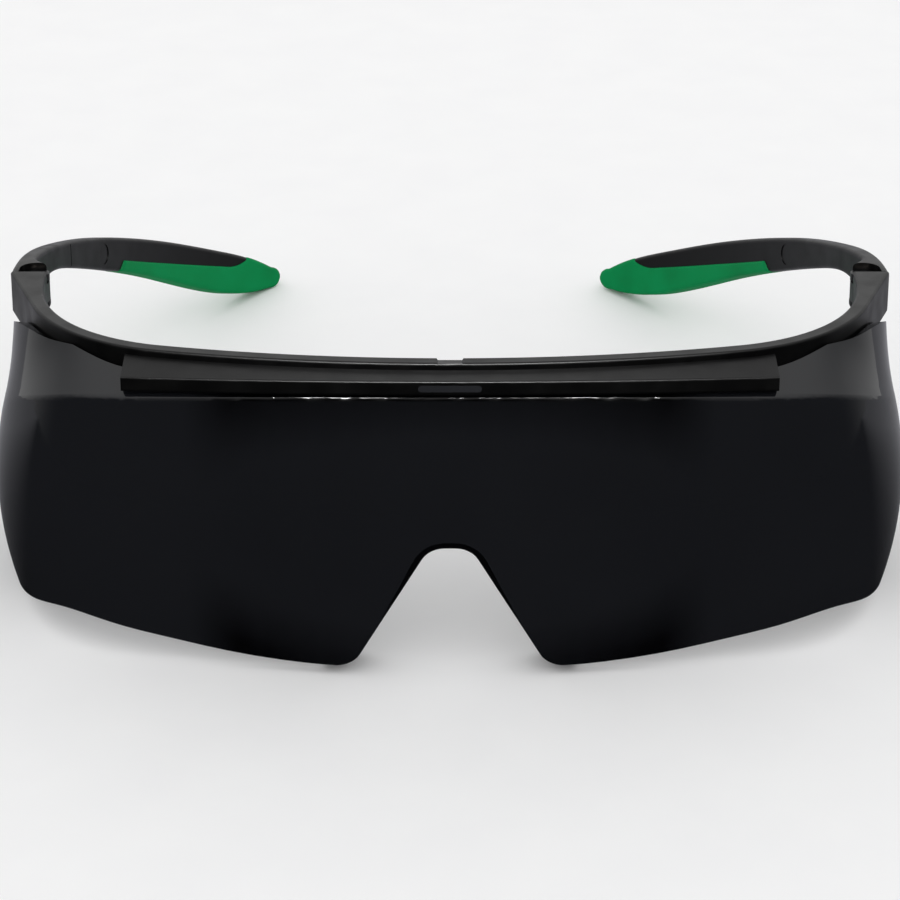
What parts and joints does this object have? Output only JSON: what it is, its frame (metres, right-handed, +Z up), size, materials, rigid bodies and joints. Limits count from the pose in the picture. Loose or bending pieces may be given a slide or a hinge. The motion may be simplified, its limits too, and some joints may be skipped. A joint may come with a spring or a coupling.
{
  "type": "over-spectacle welding glasses",
  "caption": "Wrap-around welding glasses worn over spectacles: dark shielded lens clamped under a brow band, with folding curved temples that end in soft tips.",
  "frame": {"origin": "on the table, under the middle of the object's bounding box, as it rests on the lens's lower edge and the temple tips", "axes": "+X to the right when looking at the lens from the front; +Y from the lens to the temple tips; +Z up from the table"},
  "size_m": [0.1628, 0.1572, 0.0517],
  "materials": {
    "lens_tint": "polished moulded polycarbonate in a dark welding shade",
    "frame_plastic": "satin moulded polyamide",
    "inlay_gloss": "polished moulded oval",
    "soft_tip": "satin green thermoplastic elastomer",
    "pin_steel": "turned stainless steel"
  },
  "bodies": {
    "front": {"brow_frame": "frame_plastic", "lens": "lens_tint", "lens_clamp_bar": "frame_plastic", "clamp_inlay": "inlay_gloss"},
    "temple_left_arm": {"temple_left": "frame_plastic", "temple_pad_left": "soft_tip", "hinge_pin_left": "pin_steel"},
    "temple_right_arm": {"temple_right": "frame_plastic", "temple_pad_right": "soft_tip", "hinge_pin_right": "pin_steel"}
  },
  "joints": [
    {"name": "temple_right_fold", "type": "hinge", "parent": "front", "child": "temple_right_arm", "pos_m": [0.0757, -0.02072, 0.042], "axis": [0, 0.2286, 0.9735], "range_deg": [-2.6, 87.4]},
    {"name": "temple_left_fold", "type": "hinge", "parent": "front", "child": "temple_left_arm", "pos_m": [-0.0757, -0.02072, 0.042], "axis": [0, -0.2286, -0.9735], "range_deg": [0, 76]}
  ]
}
